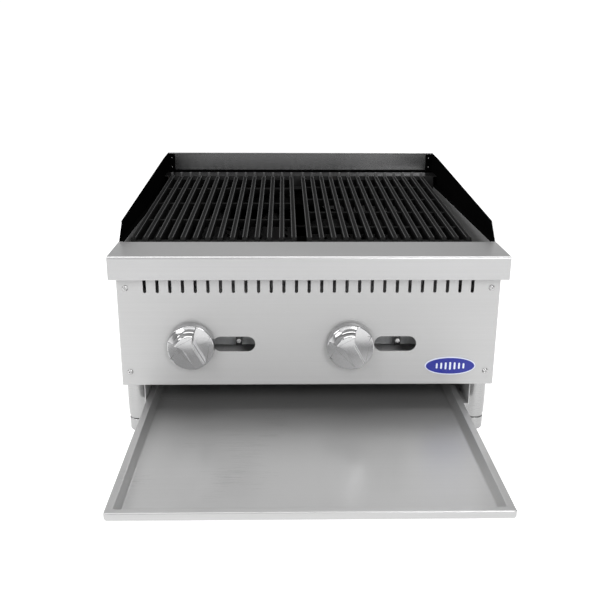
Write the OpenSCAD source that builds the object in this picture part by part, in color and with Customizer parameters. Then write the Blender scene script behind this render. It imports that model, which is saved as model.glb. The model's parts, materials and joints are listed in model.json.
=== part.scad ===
// Two-burner gas charbroiler for a counter top. The drip tray is pulled out, as at rest.
// Millimetres, +X to the right, +Y to the back, +Z up. The origin is on the counter,
// under the centre of the outline with the tray pulled out.

/* [Body] */
// Width over the ledge and the splash guards
body_w = 613; // [560:1:660]
// Depth from the ledge front to the back panel
body_d = 700; // [680:1:760]
// Height to the top of the backsplash
body_h = 386; // [382:1:400]
// Width of the front panel
panel_w = 599; // [590:1:602]
// Height of the counter gap under the body
leg_h = 102; // [100:1:110]
// Sheet thickness of panels and guards
sheet = 1.5; // [1:0.1:2]

/* [Ledge] */
// Height of the ledge top
ledge_z = 322; // [320:1:326]
// Depth of the ledge top
ledge_d = 95; // [90:1:98]
// Height of the ledge face
ledge_face = 37; // [30:1:40]
// Radius of the front bend
ledge_r = 4; // [2:0.5:8]
// Set-back of the front panel behind the ledge front
panel_inset = 22; // [20:1:24]

/* [Front panel] */
// Number of vent slots
vent_count = 27; // [9:2:27]
// Spacing of the vent slots
vent_pitch = 19.65; // [12:0.05:19.65]
// Height of the knob and window centres
knob_z = 173; // [170:1:176]
// Centre of the left knob
left_knob_x = -186; // [-190:1:-180]
// Centre of the right knob
right_knob_x = 65.5; // [60:0.5:70]
// Radius of the knob skirt
knob_r = 37.5; // [30:0.5:38]
// Angle of the grip bar when the gas is off
grip_angle = 29; // [0:1:45]
// Width of a lighting window
window_w = 67; // [50:1:68]
// Height of a lighting window
window_h = 25; // [20:1:28]
// Centre of the left window
left_window_x = -118.5; // [-120:0.5:-116]
// Centre of the right window
right_window_x = 138; // [134:0.5:140]

/* [Splash] */
// Distance from the ledge front to the top front corner of a side guard
guard_corner_y = 126; // [120:1:140]
// Height of the top front corner of a side guard
guard_corner_z = 349; // [345:1:355]
// Height of a side guard where its top edge levels out
guard_rear_z = 383; // [380:0.5:384]
// Length of the level stretch at the back
guard_level = 66; // [60:1:70]
// Height of the rear shelf behind the grates
shelf_z = 344; // [343:0.5:345]
// Depth of the rear shelf with the flue slot behind it
shelf_d = 75; // [73:1:76]
// Width of the flue slot between the shelf and the backsplash
flue_slot = 22; // [15:1:30]

/* [Grates] */
// Bars in one grate
bar_count = 14; // [10:1:14]
// Spacing of the bars
bar_pitch = 20.33; // [18:0.01:20.5]
// Width of a bar at its top
bar_w = 8.5; // [7:0.5:10]
// Depth of a bar
bar_h = 21; // [18:1:21]
// Height of the raised tips at the back of the bars
tip_h = 8; // [4:0.5:9]
// Width of a raised tip
tip_w = 5; // [4:0.5:7]
// Length of a grate along its bars
grate_l = 505; // [495:1:505]
// Height of the bar tops at the front end
grate_front_z = 323; // [322:0.5:324]
// Slope of the grates, high at the back
grate_slope = 2.5; // [2:0.1:2.6]
// Gap between the last bar of the left grate and the first of the right
grate_gap = 17; // [15:0.5:18]
// How far the pair of grates lies to the left of centre
grate_shift = 9.7; // [0:0.1:10]

/* [Burners] */
// Distance between the two arms of a burner
arm_gap = 120; // [110:1:122]
// Outer radius of a burner tube
arm_r = 15; // [12:0.5:16]
// Height of the burner axis
burner_z = 212; // [211:1:213]
// Half width of a radiant
radiant_w = 48; // [40:1:50]

/* [Drip tray] */
// Width of the drip tray over its lips
tray_w = 520; // [500:1:522]
// Length of the drip tray
tray_l = 640; // [600:1:650]
// Height of the tray rim
tray_z = 70.4; // [70:0.1:71]
// Depth of the tray inside
tray_depth = 16.5; // [14:0.5:17]
// Width of the flat rim
rim_w = 11; // [11:0.5:13]
// Height of the lip that hangs from the rim
lip_h = 10.5; // [8:0.5:11]
// How far the tray walls lean in on their way down
tray_slope = 3.8; // [0:0.2:6]
// How far the tray stands out of the ledge at rest
tray_out = 298; // [280:1:300]
// How far the tray lies to the left of centre
tray_shift = 5.6; // [0:0.1:6]

/* [Legs] */
// Distance of the leg axes from the centre line
leg_x = 286; // [286:0.5:287]
// Distance of the leg axes from the front and back planes
leg_y = 78; // [70:1:90]
// Radius of a leg tube
leg_r = 17; // [15:0.5:18]
// Height of a foot below its leg
foot_h = 23; // [20:1:26]

/* [Hidden] */
$fn = 48;

// Running clearance, radial, and the small gap between neighbouring sheets
fit = 0.05;
gap = 0.1;
// The gas pipe stands out of the back by this much
inlet_out = 28;
// Planes across the body: ledge front, panel face, back
front_y = (tray_out - body_d - inlet_out) / 2;
panel_y = front_y + panel_inset;
back_y = front_y + body_d;
half_w = body_w / 2;
half_panel = panel_w / 2;
inside_x = half_panel - sheet - gap;
// The firebox lies between the front and rear heat shields
fire_front = front_y + ledge_d + 2;
fire_back = back_y - shelf_d;
fire_x = 262;
fire_low = 130;
side_top = ledge_z - sheet - gap;
frame_lip = 20;
frame_w = 38;
frame_t = 2;
frame_y0 = panel_y + 8.2;
frame_y1 = back_y - sheet - gap;
// Grates
grate_y0 = front_y + 116.4;
grate_w = (bar_count - 1) * bar_pitch + bar_w;
left_grate_x = -grate_shift - grate_gap / 2 - grate_w + bar_w / 2;
right_grate_x = -grate_shift + grate_gap / 2 + bar_w / 2;
left_ties = [139, 266, 397];
right_ties = [90, 195, 300, 412];
rail_z = grate_front_z - bar_h - 3;
rear_rail_z = grate_front_z + grate_l * sin(grate_slope) - bar_h - 3;
// Gas train: the valve sits between the panel and the square manifold
manifold_y = front_y + 60;
manifold_s = 30;
manifold_z = knob_z - 1;
valve_y0 = front_y + 30;
valve_y1 = front_y + 56;
plug_y0 = front_y + 43;
plug_y1 = front_y + 51.9;
valve_r = 13;
plug_r = 8;
stem_r = 4;
collar_y = valve_y0 + 2.6;
outlet_y = front_y + 47;
hood_y0 = front_y + 58;
hood_y1 = front_y + 76;
mixer_y0 = front_y + 72;
pipe_x = 279;
pipe_r = 13.335;
knob_gap = 4;
grip_w = 8;
pilot_z = 171;
pilot_left_x = -112;
pilot_right_x = 144.5;
tray_front = front_y - tray_out;
runner_x = 268;

// ---- helpers ----

module block(lo, hi) {
  translate(lo) cube(hi - lo);
}

module rod_y(x, z, y0, y1, r) {
  translate([x, y0, z]) rotate([-90, 0, 0]) cylinder(r = r, h = y1 - y0);
}

module rod_z(x, y, z0, z1, r) {
  translate([x, y, z0]) cylinder(r = r, h = z1 - z0);
}

// A slot with round ends through a sheet in the XZ plane
module slot_y(x, z, w, h, y0, y1) {
  r = min(w, h) / 2;
  across = w > h;
  e = (max(w, h) / 2 - r);
  for (s = [-1, 1])
    rod_y(x + (across ? s * e : 0), z + (across ? 0 : s * e), y0, y1, r);
  if (across) block([x - e, y0, z - r], [x + e, y1, z + r]);
  else block([x - r, y0, z - e], [x + r, y1, z + e]);
}

// A shape drawn in Y and Z, pushed along X from x0 to x1
module side_plate(x0, x1) {
  translate([x0, 0, 0]) rotate([90, 0, 90]) linear_extrude(x1 - x0) children();
}

// A shape drawn in X and Z, pushed along Y from y0 to y1
module cross_plate(y0, y1) {
  translate([0, y1, 0]) rotate([90, 0, 0]) linear_extrude(y1 - y0) children();
}

// ---- casing ----

module front_panel() {
  color("gainsboro")
  difference() {
    union() {
      block([-half_panel, panel_y, leg_h], [half_panel, panel_y + sheet, side_top - 4]);
      block([-half_panel, panel_y, leg_h], [half_panel, panel_y + 8, leg_h + sheet]);
      for (x = [-half_panel, half_panel - sheet])
        block([x, panel_y, leg_h], [x + sheet, panel_y + 12, side_top - 4]);
    }
    for (i = [0 : vent_count - 1])
      slot_y((i - (vent_count - 1) / 2) * vent_pitch, 270, 5, 24,
             panel_y - 1, panel_y + sheet + 1);
    for (x = [left_window_x, right_window_x])
      slot_y(x, knob_z, window_w, window_h, panel_y - 1, panel_y + sheet + 1);
    for (x = [left_knob_x, right_knob_x])
      rod_y(x, knob_z, panel_y - 1, panel_y + sheet + 1, 8);
    panel_screw_axes() rod_y(0, 0, panel_y - 1, panel_y + sheet + 1, 2.3);
  }
}

module panel_screw_axes() {
  for (x = [-half_panel + 14, half_panel - 14], z = [leg_h + 24, leg_h + 164])
    translate([x, 0, z]) children();
}

module ledge_section(r, inset) {
  lo = ledge_z - ledge_face + inset;
  hi = ledge_z - inset;
  difference() {
    translate([front_y + inset, lo]) square([ledge_d - 2 * inset, hi - lo]);
    translate([front_y + inset, hi - r]) square(r);
  }
  translate([front_y + inset + r, hi - r]) circle(r);
}

module front_ledge() {
  color("silver")
  union() {
    side_plate(-half_w, half_w) difference() {
      ledge_section(ledge_r, 0);
      ledge_section(ledge_r - sheet, sheet);
      // The underside is open behind the return flange
      translate([panel_y - gap, 0]) square([ledge_d, ledge_z - ledge_face + sheet + 0.01]);
      translate([front_y + ledge_d - sheet - 1, 0])
        square([10, ledge_z - sheet - 0.01]);
    }
    // Rear fold, inside the side panels
    block([-inside_x + gap, front_y + ledge_d - sheet, ledge_z - 22],
          [inside_x - gap, front_y + ledge_d, ledge_z - sheet / 2]);
    for (x = [-half_w, half_w - sheet])
      side_plate(x, x + sheet) ledge_section(ledge_r, 0);
  }
}

module side_panel(s) {
  x0 = half_panel - sheet;
  color("gainsboro")
  scale([s, 1, 1]) difference() {
    union() {
      block([x0, panel_y + 12.1, leg_h], [half_panel, back_y - 1.6, side_top]);
      block([x0 - 25, panel_y + 12.1, leg_h + 8],
            [x0 + 0.5, panel_y + 12.1 + sheet, leg_h + 176]);
      block([x0 - 15, back_y - 3.1, frame_lip + leg_h + 4],
            [x0 + 0.5, back_y - 1.6, side_top]);
    }
    for (z = [leg_h + 24, leg_h + 164])
      rod_y(half_panel - 14, z, panel_y + 10, panel_y + 16, 2.02);
    // Notch round the gas pipe
    if (s > 0) rod_y(pipe_x, manifold_z, back_y - 5, back_y, 14.5);
  }
}

module back_panel() {
  color("gainsboro")
  difference() {
    block([-half_panel, back_y - sheet, leg_h], [half_panel, back_y, side_top]);
    rod_y(pipe_x, manifold_z, back_y - 5, back_y + 5, 14.5);
    for (i = [-2 : 2], z = [198, 226])
      slot_y(i * 84, z, 60, 8, back_y - 5, back_y + 5);
  }
}

module base_frame() {
  x1 = inside_x;
  color("darkgray")
  difference() {
    union() {
      difference() {
        block([-x1, frame_y0, leg_h], [x1, frame_y1, leg_h + frame_t]);
        block([frame_w - x1, frame_y0 + frame_w, leg_h - 1],
              [x1 - frame_w, frame_y1 - frame_w, leg_h + 5]);
      }
      for (y = [frame_y0, frame_y1 - frame_t - 1.6])
        block([-x1 + 26, y, leg_h], [x1 - 26, y + frame_t, leg_h + frame_lip]);
      for (x = [-x1, x1 - frame_t])
        block([x, frame_y0 + 10, leg_h], [x + frame_t, frame_y1 - 10, leg_h + frame_lip]);
    }
    leg_axes() rod_z(0, 0, leg_h - 1, leg_h + 5, 5.1);
  }
}

module leg_axes() {
  for (x = [-leg_x, leg_x], y = [front_y + leg_y, back_y - leg_y])
    translate([x, y, 0]) children();
}

// ---- splash guards ----

module splash_guard(s) {
  color("dimgray")
  scale([s, 1, 1]) difference() {
    union() {
      side_plate(half_w - sheet, half_w) polygon([
        [front_y + ledge_d + gap, ledge_z - sheet],
        [front_y + ledge_d + gap, ledge_z],
        [front_y + guard_corner_y - 2, guard_corner_z - 1.6],
        [front_y + guard_corner_y + 1, guard_corner_z],
        [back_y - guard_level, guard_rear_z],
        [back_y - 1.6, body_h - 1],
        [back_y - 1.6, ledge_z - sheet]
      ]);
      // Bottom flange, over the edge of the side panel
      block([half_panel - sheet, front_y + ledge_d + gap, ledge_z - sheet],
            [half_w - 0.5, back_y - 1.6, ledge_z]);
      // Rear flange, screwed to the backsplash
      block([half_w - 16, back_y - 1.6 - sheet, shelf_z + 1],
            [half_w - 0.5, back_y - 1.6, body_h - 3.1]);
    }
    for (z = splash_screw_z) rod_y(half_w - 9, z, back_y - 6, back_y, 1.95);
  }
}

splash_screw_z = [353, 374];

module backsplash() {
  color("silver")
  difference() {
    union() {
      block([-half_w, back_y - sheet, ledge_z - sheet], [half_w, back_y, body_h]);
      block([-half_w + 2, back_y - 8, body_h - sheet],
            [half_w - 2, back_y - 0.5, body_h]);
    }
    for (x = [-half_w + 9, half_w - 9], z = splash_screw_z)
      rod_y(x, z, back_y - 4, back_y + 1, 2.2);
  }
}

// ---- firebox ----

module rear_heat_shield() {
  color("gray")
  difference() {
    union() {
      block([-half_w + 1.6, fire_back, shelf_z - sheet],
            [half_w - 1.6, back_y - flue_slot, shelf_z]);
      block([-inside_x + gap, fire_back, fire_low],
            [inside_x - gap, fire_back + sheet, shelf_z - 0.5]);
      // Lip that carries the radiants, and the bracket under the burner bends
      block([-fire_x + 4, fire_back - 16, 230], [fire_x - 4, fire_back + 0.5, 231.5]);
      for (x = [left_knob_x, right_knob_x])
        block([x + arm_gap / 2 - 35, fire_back - 60, burner_z - arm_r - 2],
              [x + arm_gap / 2 + 35, fire_back + 0.5, burner_z - arm_r]);
    }
    rod_y(pipe_x, manifold_z, fire_back - 1, fire_back + 5, 14.5);
    // Flue holes, which lead to the slot in front of the backsplash
    for (i = [-3 : 3]) slot_y(i * 72, 268, 50, 22, fire_back - 1, fire_back + 5);
  }
}

module front_heat_shield() {
  color("gray")
  difference() {
    union() {
      block([-inside_x + gap, fire_front, fire_low],
            [inside_x - gap, fire_front + sheet, side_top]);
      block([-fire_x + 4, fire_front + 1, 230], [fire_x - 4, fire_front + 17.5, 231.5]);
    }
    for (x = [left_knob_x, right_knob_x])
      rod_y(x, burner_z, fire_front - 1, fire_front + 30, 15.5);
    for (x = [pilot_left_x, pilot_right_x])
      rod_y(x, 222, fire_front - 1, fire_front + 5, 4);
    rod_y(pipe_x, manifold_z, fire_front - 1, fire_front + 5, 14.5);
  }
}

// Inner wall of the firebox at one side, with its flanges
module side_heat_shield(s) {
  y0 = fire_front + 1.6;
  y1 = fire_back - 0.1;
  color("gray")
  scale([s, 1, 1]) union() {
    block([fire_x, y0, fire_low], [fire_x + sheet, y1, 290]);
    block([fire_x, y0, 290 - sheet], [inside_x - gap, y1, 290]);
    block([238, y0, fire_low], [fire_x + 0.5, y1, fire_low + sheet]);
  }
}

module front_grate_rail() {
  color("dimgray")
  union() {
    block([-292, fire_front + 1.6, rail_z - 3], [292, fire_front + 33, rail_z]);
    block([-260, fire_front + 1.6, rail_z - 26], [260, fire_front + 4.6, rail_z - 0.5]);
  }
}

module rear_grate_rail() {
  color("dimgray")
  union() {
    block([-292, fire_back - 33, rear_rail_z - 3], [292, fire_back - 0.1, rear_rail_z]);
    block([-292, fire_back - 3.1, rear_rail_z - 26],
          [292, fire_back - 0.1, rear_rail_z - 0.5]);
  }
}

// ---- grates ----

// One bar along Y from the origin, its top at z = 0, with a grease groove
module grate_bar() {
  w = bar_w / 2;
  translate([0, grate_l, 0]) rotate([90, 0, 0]) linear_extrude(grate_l)
    polygon([[-w, 0], [-w + 1.8, 0], [0, -2.2], [w - 1.8, 0], [w, 0],
             [w, -6], [w - 2, -bar_h], [-w + 2, -bar_h], [-w, -6]]);
}

module grate(x0, ties) {
  x1 = x0 + (bar_count - 1) * bar_pitch;
  color([0.16, 0.16, 0.17])
  difference() {
    union() {
      translate([0, grate_y0, grate_front_z]) rotate([grate_slope, 0, 0]) {
        for (i = [0 : bar_count - 1]) translate([x0 + i * bar_pitch, 0, 0]) {
          grate_bar();
          // Raised tip that stops food at the back
          side_plate(-tip_w / 2, tip_w / 2)
            polygon([[grate_l - 10, -3], [grate_l - 7, tip_h], [grate_l - 1, tip_h], [grate_l, -3]]);
        }
        for (y = ties) block([x0, y - 3, -bar_h + 3], [x1, y + 3, -5]);
        block([x0, 2, -bar_h + 2], [x1, 12, -6]);
        block([x0, grate_l - 12, -bar_h + 2], [x1, grate_l - 2, -6]);
      }
      // Flat feet on the two rails
      block([x0 + 2, grate_y0 + 3, rail_z + gap],
            [x1 - 2, grate_y0 + 11, rail_z + 6]);
      block([x0 + 2, grate_y0 + grate_l - 12, rear_rail_z + gap],
            [x1 - 2, grate_y0 + grate_l - 4, rear_rail_z + 6]);
    }
    // The front tips are cut back at an angle
    translate([x0 - 20, grate_y0, grate_front_z - 5]) rotate([-45, 0, 0])
      translate([0, -20, 0]) cube([grate_w + 40, 20, 20]);
  }
}

// ---- radiants and burners ----

module radiant(x) {
  z0 = 231.6;
  rise = 28;
  t = 4;
  y0 = fire_front + 3;
  y1 = fire_back - 1.5;
  color("dimgray")
  difference() {
    cross_plate(y0, y1) polygon([
      [x - radiant_w, z0], [x - radiant_w, z0 + t], [x - 5, z0 + rise + t],
      [x + 5, z0 + rise + t], [x + radiant_w, z0 + t], [x + radiant_w, z0],
      [x + 5, z0 + rise - 1], [x - 5, z0 + rise - 1]
    ]);
    for (y = [y0 + 35 : 52 : y1 - 40], s = [-1, 1])
      block([x + s * 26 - 8, y, z0 - 5], [x + s * 26 + 8, y + 26, z0 + rise + 10]);
  }
}

module burner(x) {
  y0 = front_y + 150;
  y1 = fire_back - 85;
  wall = 2.5;
  x2 = x + arm_gap;
  color("dimgray")
  difference() {
    union() {
      rod_y(x, burner_z, front_y + 92, y1, arm_r);
      rod_y(x2, burner_z, y0, y1, arm_r);
      translate([x + arm_gap / 2, y1, burner_z]) rotate_extrude(angle = 180)
        translate([arm_gap / 2, 0]) circle(arm_r);
      // Mixer bell with its mouth plate
      translate([x, mixer_y0 + 2, burner_z]) rotate([-90, 0, 0])
        cylinder(r1 = 22, r2 = arm_r, h = 18.5);
      rod_y(x, burner_z, mixer_y0, mixer_y0 + 2.2, 22);
    }
    rod_y(x, burner_z, mixer_y0 + 20.2, y1, arm_r - wall);
    rod_y(x2, burner_z, y0 + wall, y1, arm_r - wall);
    // The passage narrows a little round the bend
    translate([x + arm_gap / 2, y1, burner_z]) rotate_extrude(angle = 180)
      translate([arm_gap / 2, 0]) circle(arm_r - wall - 1.5);
    translate([x, mixer_y0 + 2.2, burner_z]) rotate([-90, 0, 0])
      cylinder(r1 = 19, r2 = arm_r - wall, h = 18);
    air_gates(x, mixer_y0 - 1, mixer_y0 + 4);
    rod_y(x, burner_z, mixer_y0 - 1, mixer_y0 + 4, 9.4);
    // Saw-cut ports along the top of both arms
    for (y = [y0 + 30 : 22 : y1], px = [x, x2])
      block([px - 7, y, burner_z + arm_r - wall - 4], [px + 7, y + 1.6, burner_z + arm_r + 1]);
  }
}

// Two air openings, either side of the orifice
module air_gates(x, y0, y1) {
  for (s = [-1, 1])
    rod_y(x + s * 14.5, burner_z, y0, y1, 4.2);
}

module air_shutter(x) {
  color("lightgray")
  difference() {
    union() {
      rod_y(x, burner_z, mixer_y0 - 2.2, mixer_y0 - 0.2, 21);
      // Thumb tab
      block([x - 4, mixer_y0 - 2.2, burner_z + 18], [x + 4, mixer_y0 - 0.2, burner_z + 27]);
      block([x - 4, mixer_y0 - 9, burner_z + 25.5], [x + 4, mixer_y0 - 0.2, burner_z + 27]);
    }
    rod_y(x, burner_z, mixer_y0 - 5, mixer_y0 + 1, 9 + fit);
    air_gates(x, mixer_y0 - 5, mixer_y0 + 1);
  }
}

module orifice(x) {
  color("goldenrod")
  difference() {
    union() {
      rod_y(x, burner_z, hood_y0 + 6, hood_y1, 9);
      translate([x, hood_y0, burner_z]) rotate([-90, 0, 0]) cylinder(r = 11, h = 8, $fn = 6);
    }
    rod_y(x, burner_z, hood_y0 - 1, hood_y1 - 5, 7);
    rod_y(x, burner_z, hood_y1 - 6, hood_y1 + 1, 1.1);
  }
}

// ---- gas train ----

module manifold() {
  h = manifold_s / 2;
  x0 = -262;
  x1 = 294;
  y1 = manifold_y + manifold_s;
  color("silver")
  difference() {
    block([x0, manifold_y, manifold_z - h], [x1, y1, manifold_z + h]);
    block([x0 + 2, manifold_y + 2, manifold_z - h + 2], [x1 - 2, y1 - 2, manifold_z + h - 2]);
    for (x = [left_knob_x, right_knob_x])
      rod_y(x, knob_z, manifold_y - 1, manifold_y + 3, 7);
    for (x = [pilot_left_x, pilot_right_x])
      rod_y(x, pilot_z, manifold_y - 1, manifold_y + 3, 4);
    rod_y(pipe_x, manifold_z, y1 - 3, y1 + 1, pipe_r);
  }
}

// Pipe to the back, where a groove sets off the threaded end
module gas_inlet_pipe() {
  y1 = back_y + inlet_out;
  color("gray")
  difference() {
    rod_y(pipe_x, manifold_z, manifold_y + manifold_s - 2, y1, pipe_r);
    difference() {
      rod_y(pipe_x, manifold_z, back_y + 4, back_y + 6, pipe_r + 3);
      rod_y(pipe_x, manifold_z, back_y + 3, back_y + 7, pipe_r - 1);
    }
    rod_y(pipe_x, manifold_z, manifold_y, y1 + 1, 10.5);
  }
}

module valve_body(x) {
  color("goldenrod")
  difference() {
    union() {
      rod_y(x, knob_z, valve_y0, valve_y1, valve_r);
      rod_y(x, knob_z, valve_y1 - 1, manifold_y + 2, 7);
      rod_z(x, outlet_y, knob_z, burner_z, 7);
      translate([x, outlet_y, burner_z]) sphere(r = 7);
      rod_y(x, burner_z, outlet_y, hood_y0 + 8, 7);
    }
    rod_y(x, knob_z, valve_y0 + 2.5, valve_y1 - 4, plug_r + fit);
    rod_y(x, knob_z, valve_y0 - 1, valve_y0 + 3, stem_r + fit);
    rod_y(x, knob_z, valve_y1 - 5, manifold_y + 3, 4);
    rod_z(x, outlet_y, knob_z + 4, burner_z, 3.5);
    rod_y(x, burner_z, outlet_y - 3, hood_y0 + 9, 3.5);
  }
}

// Turning plug, with the socket that the stem slides in
module valve_plug(x) {
  color("gold")
  difference() {
    rod_y(x, knob_z, plug_y0, plug_y1, plug_r);
    rod_y(x, knob_z, plug_y0 - 1, plug_y1 - 1, stem_r + fit);
  }
}

module stem(x) {
  color("silver")
  union() {
    rod_y(x, knob_z, panel_y - 20, plug_y0 + 4, stem_r);
    rod_y(x, knob_z, collar_y, collar_y + 1.5, 6);
  }
}

// Point on the wire of a stem spring, at angle a of the coil and b round the wire
function wire_point(a, b, turns, coil_r, wire_r, length) =
  let (r = coil_r + wire_r * cos(b))
  [r * cos(a), r * sin(a), length * a / (360 * turns) + wire_r * sin(b)];

module stem_spring(x) {
  turns = 4;
  sides = 6;
  steps = 12 * turns;
  wire_r = 0.5;
  y0 = collar_y + 1.6 + wire_r;
  length = plug_y0 - 0.1 - wire_r - y0;
  rings = [for (i = [0 : steps], j = [0 : sides - 1])
    wire_point(i * 30, j * 360 / sides, turns, 5.6, wire_r, length)];
  quads = [for (i = [0 : steps - 1], j = [0 : sides - 1])
    let (k = (j + 1) % sides, n = i * sides)
    [n + j, n + sides + j, n + sides + k, n + k]];
  first = [for (j = [0 : sides - 1]) j];
  last = [for (j = [sides - 1 : -1 : 0]) steps * sides + j];
  color("silver")
  translate([x, y0, knob_z]) rotate([-90, 0, 0])
    polyhedron(points = rings, faces = concat(quads, [first], [last]));
}

// Outline of the grip seen from the front: a bar that flares at its upper end
module grip_outline() {
  w = grip_w;
  polygon([[-w, -knob_r - 2], [w, -knob_r - 2], [w, 0], [w + 0.8, 5], [w + 3, 10], [w + 7, 15.5],
           [w + 12.5, 21], [w + 18.6, 25.7], [w + 26, 31], [-w - 26, 31], [-w - 18.6, 25.7],
           [-w - 12.5, 21], [-w - 7, 15.5], [-w - 3, 10], [-w - 0.8, 5], [-w, 0]]);
}

module knob(x) {
  base = knob_gap;
  cheek = 17;
  color("lightgray")
  translate([x, panel_y, knob_z]) rotate([90, 0, 0]) difference() {
    union() {
      rotate_extrude() polygon([[0, base], [knob_r, base], [knob_r, base + 6],
        [knob_r - 1, cheek], [knob_r - 9, cheek + 6], [knob_r - 14, cheek + 15], [0, cheek + 15]]);
      // The grip keeps its full height out to the rim at its lower end
      rotate(grip_angle) intersection() {
        cylinder(r1 = knob_r + 3, r2 = knob_r - 6, h = cheek + 15);
        block([-grip_w, -knob_r, cheek - 3], [grip_w, 0, cheek + 15]);
      }
    }
    // The two cheeks either side of the grip
    translate([0, 0, cheek]) linear_extrude(30) difference() {
      circle(knob_r + 5);
      rotate(grip_angle) grip_outline();
    }
    translate([0, 0, -1]) cylinder(r = stem_r, h = 21);
  }
}

// ---- pilots ----

module pilot_valve(x) {
  y0 = front_y + 44;
  color([0.1, 0.1, 0.1])
  difference() {
    union() {
      block([x - 5, y0, pilot_z - 8], [x + 5, manifold_y - 2, pilot_z + 8]);
      rod_y(x, pilot_z, manifold_y - 2.5, manifold_y + 2, 4);
      rod_z(x, y0 + 7, pilot_z + 7, pilot_z + 14, 4);
    }
    rod_y(x, pilot_z, y0 - 1, y0 + 9, 2.5 + fit);
    rod_z(x, y0 + 7, pilot_z + 9, pilot_z + 15, 2.5);
  }
}

module pilot_screw(x) {
  y0 = front_y + 41;
  color("silver")
  difference() {
    union() {
      rod_y(x, pilot_z, y0, y0 + 2.9, 3.6);
      rod_y(x, pilot_z, y0 + 2.8, y0 + 9, 2.5);
    }
    block([x - 5, y0 - 1, pilot_z - 0.5], [x + 5, y0 + 1.2, pilot_z + 0.5]);
  }
}

// Tube from the pilot valve to the pilot burner beside the burner arm
module pilot_tube(x) {
  y0 = front_y + 51;
  z1 = 222;
  y1 = front_y + 165;
  color("darkgoldenrod")
  union() {
    rod_z(x, y0, pilot_z + 9, z1, 2.5);
    translate([x, y0, z1]) sphere(r = 2.5);
    rod_y(x, z1, y0, y1, 2.5);
    block([x - 5, y1 - 2, z1 - 6], [x + 5, y1 + 10, z1 + 3]);
    block([x, y1 + 2, z1 - 4], [x + 14, y1 + 8, z1 + 3]);
  }
}

// ---- drip tray ----

module tray_runner(s) {
  y0 = frame_y0 + 10;
  y1 = back_y - 12;
  ledge = tray_z - lip_h - 0.3;
  // Just outside the tray's wall, which lies off centre
  inner = tray_w / 2 - rim_w - s * tray_shift + 3;
  color("silver")
  scale([s, 1, 1]) union() {
    block([runner_x - sheet, y0, ledge - sheet], [runner_x, y1, leg_h - gap]);
    block([inner, y0, ledge - sheet], [runner_x - 0.5, y1, ledge]);
    block([runner_x - 16, y0, leg_h - gap - sheet], [runner_x - 0.5, y1, leg_h - gap]);
  }
}

// The basin of the tray as a solid with leaning walls, t larger all round
module tray_basin(t, top) {
  x = tray_w / 2 - rim_w + t;
  y0 = rim_w - t;
  y1 = tray_l - rim_w + t;
  low = tray_z - tray_depth - t;
  intersection() {
    cross_plate(y0, y1)
      polygon([[-x, top], [-x, tray_z], [tray_slope - x, low], [x - tray_slope, low], [x, tray_z],
               [x, top]]);
    side_plate(-x, x)
      polygon([[y0, top], [y0, tray_z], [y0 + tray_slope, low], [y1 - tray_slope, low],
               [y1, tray_z], [y1, top]]);
  }
}

module drip_tray() {
  t = 1.2;
  w = tray_w / 2;
  color("silver")
  translate([-tray_shift, tray_front, 0]) difference() {
    union() {
      difference() {
        block([-w, 0, tray_z - lip_h], [w, tray_l, tray_z]);
        // Hollow under the rim, inside the lip
        block([-w + t, t, tray_z - lip_h - 1], [w - t, tray_l - t, tray_z - t]);
      }
      tray_basin(t, tray_z + 1);
    }
    tray_basin(0, tray_z + 2);
    translate([0, 0, tray_z]) block([-w, 0, 0], [w, tray_l, 5]);
  }
}

// ---- legs and feet ----

module leg(x, y) {
  z0 = foot_h + 0.5;
  color("silver")
  translate([x, y, 0]) difference() {
    union() {
      rotate_extrude() polygon([[0, z0], [leg_r - 2, z0], [leg_r - 0.6, z0 + 7],
        [leg_r, z0 + 26], [leg_r, leg_h - gap], [0, leg_h - gap]]);
      cylinder(r = 5, h = leg_h + 13);
    }
    translate([0, 0, -1]) cylinder(r = 6 + fit, h = z0 + 22);
    translate([0, 0, z0 + 20]) cylinder(r = leg_r - 2, h = leg_h - 4 - z0 - 20);
  }
}

module foot(x, y) {
  color("silver")
  translate([x, y, 0]) union() {
    rotate_extrude() polygon([[0, 0], [leg_r - 3, 0], [leg_r - 1.5, 2],
      [leg_r - 1.2, foot_h - 1], [leg_r - 3, foot_h], [0, foot_h]]);
    cylinder(r = 6, h = foot_h + 48);
  }
}

// ---- fasteners and badge ----

module panel_screws() {
  color("silver")
  panel_screw_axes() {
    translate([0, panel_y - 2.4, 0]) rotate([-90, 0, 0]) cylinder(r1 = 3.4, r2 = 4.6, h = 2.4);
    rod_y(0, 0, panel_y - 0.1, panel_y + 20, 2);
  }
}

module splash_screws() {
  color("silver")
  for (x = [-half_w + 9, half_w - 9], z = splash_screw_z) {
    rod_y(x, z, back_y, back_y + 2.4, 4.4);
    rod_y(x, z, back_y - 9, back_y + 0.1, 1.9);
  }
}

module leg_nuts() {
  color("silver")
  leg_axes() translate([0, 0, leg_h + frame_t]) difference() {
    cylinder(r = 9, h = 7, $fn = 6);
    translate([0, 0, -1]) cylinder(r = 5, h = 9, $fn = 48);
  }
}

// Blank oval plate
module badge() {
  color("mediumblue")
  translate([228, 0, 135]) cross_plate(panel_y - 1.5, panel_y - 0.02)
    polygon([for (a = [0 : 6 : 354]) [41 * cos(a), 15.5 * sin(a)]]);
}

// ---- assembly ----

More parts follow.
